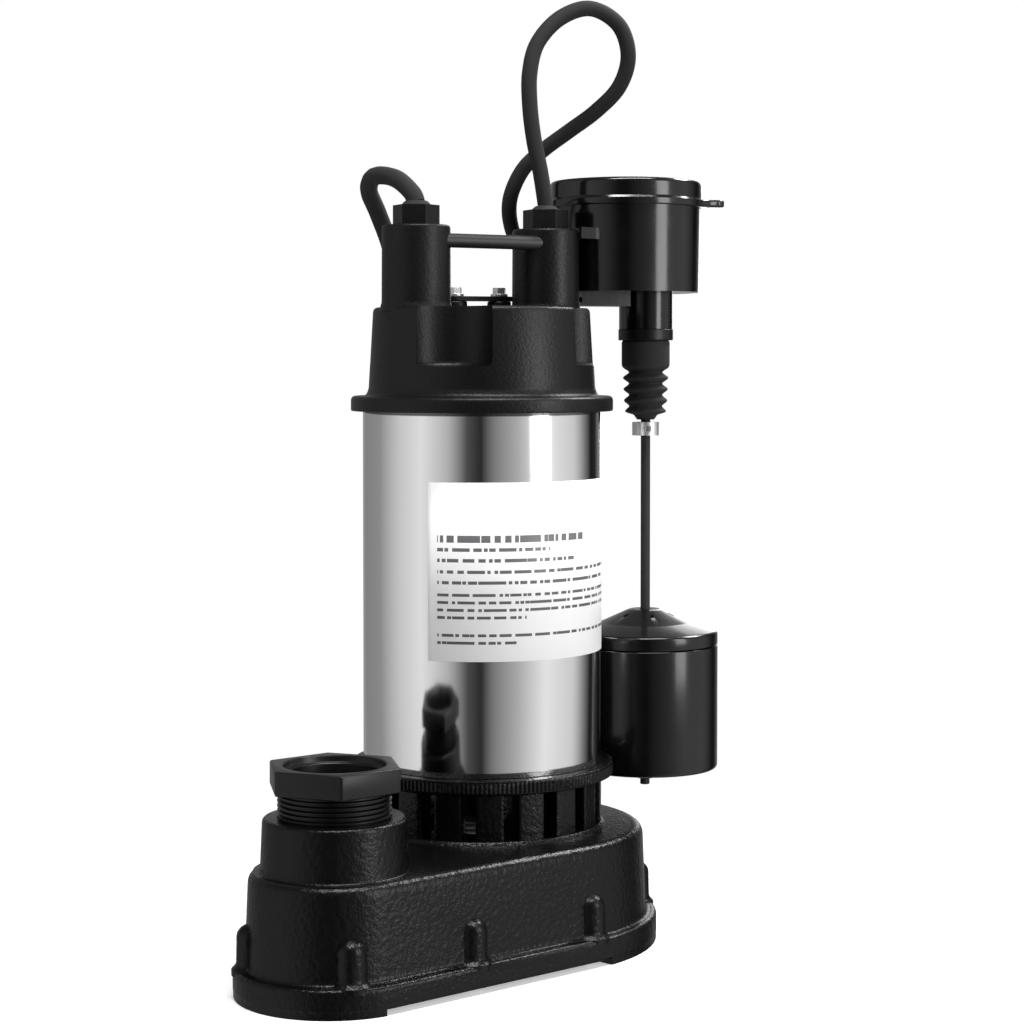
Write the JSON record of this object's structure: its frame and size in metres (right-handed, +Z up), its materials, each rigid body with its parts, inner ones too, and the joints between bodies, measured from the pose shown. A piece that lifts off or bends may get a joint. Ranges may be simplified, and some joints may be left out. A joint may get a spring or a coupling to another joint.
{
  "type": "submersible sump pump",
  "caption": "Submersible sump pump: cast base with upright outlet, polished motor tube, black cap with two posts and a bar handle, and a vertical float switch on a rod.",
  "frame": {"origin": "on the floor, under the motor's axis", "axes": "+Z up along the motor's axis; the outlet stands towards -Y; the float switch stands towards +Y, a little to +X"},
  "size_m": [0.2313, 0.3643, 0.4357],
  "materials": {
    "casing_paint": "glossy black paint over an orange-peel cast skin",
    "cap_paint": "satin black paint over a fine cast skin",
    "tube_steel": "mirror-polished stainless steel",
    "label_film": "satin white film with plain grey bars",
    "adapter_plastic": "satin black moulded plastic",
    "nut_plastic": "matte black moulded nylon",
    "switch_plastic": "glossy black moulded plastic",
    "float_plastic": "glossy black moulded plastic, slightly ribbed by the mould",
    "rod_plastic": "black coated rod",
    "boot_rubber": "matte moulded rubber with a mould line",
    "cord_rubber": "black cord jacket, satin",
    "seal_rubber": "black rubber",
    "gasket_fibre": "compressed fibre",
    "screw_steel": "bright zinc",
    "collar_steel": "turned stainless steel",
    "bracket_steel": "pressed steel strip",
    "bar_paint": "satin black paint",
    "shaft_steel": "ground stainless steel",
    "lamination_steel": "stacked steel sheets",
    "winding_copper": "varnished copper wire",
    "bearing_steel": "ground bearing steel",
    "cage_brass": "pressed brass",
    "end_aluminium": "die-cast aluminium",
    "impeller_plastic": "glass-filled moulded plastic",
    "seal_ceramic": "lapped white ceramic",
    "seal_carbon": "lapped carbon",
    "capacitor_can": "drawn aluminium can",
    "terminal_plastic": "ivory moulded plastic",
    "protector_plastic": "black moulded plastic",
    "snap_plastic": "dark red moulded plastic",
    "contact_brass": "bright brass",
    "lever_steel": "pressed stainless steel",
    "button_plastic": "cream moulded plastic",
    "plug_plastic": "black moulded plug",
    "tie_plastic": "black woven strap"
  },
  "bodies": {
    "pump": {"pump_casing": "casing_paint", "base_plate": "casing_paint", "base_gasket": "gasket_fibre", "base_screws": "screw_steel", "intake_housing": "casing_paint", "intake_screws": "screw_steel", "discharge_adapter": "adapter_plastic", "stator_core": "lamination_steel", "stator_windings": "winding_copper", "bearing_outer_races": "bearing_steel", "seal_seat": "seal_ceramic", "seal_seat_cup": "seal_rubber", "upper_end_shield": "end_aluminium", "motor_tube": "tube_steel", "tube_rings": "seal_rubber", "name_label": "label_film", "run_capacitor": "capacitor_can", "thermal_protector": "protector_plastic", "terminal_block": "terminal_plastic", "top_cap": "cap_paint", "tie_bolts": "screw_steel", "handle_bar": "bar_paint", "power_cord_nut": "nut_plastic", "switch_cord_nut": "nut_plastic", "power_cord_grommet": "cord_rubber", "switch_cord_grommet": "cord_rubber", "power_cord": "cord_rubber", "power_cord_coil": "cord_rubber", "power_cord_tail": "cord_rubber", "coil_tie": "tie_plastic", "power_plug": "plug_plastic", "plug_blades": "contact_brass", "switch_cord": "cord_rubber", "switch_bracket": "bracket_steel", "bracket_screws": "screw_steel", "switch_housing": "switch_plastic", "switch_lid": "switch_plastic", "boot_band": "nut_plastic", "bellows_boot": "boot_rubber", "snap_switch": "snap_plastic", "snap_terminals": "contact_brass", "lever_pin": "shaft_steel"},
    "rotor": {"motor_shaft": "shaft_steel", "rotor_core": "lamination_steel", "rotor_end_rings": "end_aluminium", "impeller": "impeller_plastic", "impeller_nut": "screw_steel", "bearing_inner_races": "bearing_steel", "seal_head": "seal_carbon", "seal_spring": "shaft_steel"},
    "bearing_set": {"bearing_balls": "bearing_steel", "bearing_cages": "cage_brass"},
    "rod": {"float_rod": "rod_plastic", "rod_collar": "collar_steel", "collar_screw": "screw_steel", "float_stop": "rod_plastic"},
    "float": {"float_shell": "float_plastic", "float_cap": "float_plastic"},
    "lever": {"switch_lever": "lever_steel"},
    "button": {"switch_button": "button_plastic"}
  },
  "joints": [
    {"name": "rotor_spin", "type": "hinge", "parent": "pump", "child": "rotor", "pos_m": [0, 0, 0.1], "axis": [0, 0, 1], "continuous": true},
    {"name": "ball_cage", "type": "hinge", "parent": "pump", "child": "bearing_set", "pos_m": [0, 0, 0.1], "axis": [0, 0, 1], "continuous": true},
    {"name": "rod_lift", "type": "slide", "parent": "pump", "child": "rod", "axis": [0, 0, 1], "range_m": [0, 0.008], "deforming": ["bellows_boot"]},
    {"name": "float_slide", "type": "slide", "parent": "rod", "child": "float", "axis": [0, 0, 1], "range_m": [0, 0.084]},
    {"name": "lever_rock", "type": "hinge", "parent": "pump", "child": "lever", "pos_m": [0.02451, 0.0706, 0.3086], "axis": [0.8387, -0.5446, 0], "range_deg": [0, 18.6]},
    {"name": "button_press", "type": "slide", "parent": "pump", "child": "button", "axis": [0, 0, 1], "range_m": [0, 0.0021]}
  ],
  "couplings": [
    {"joint": "ball_cage", "follows": "rotor_spin", "ratio": 0.384},
    {"joint": "lever_rock", "follows": "rod_lift", "rad_per_m": 40.2},
    {"joint": "button_press", "follows": "rod_lift", "ratio": 0.25}
  ]
}
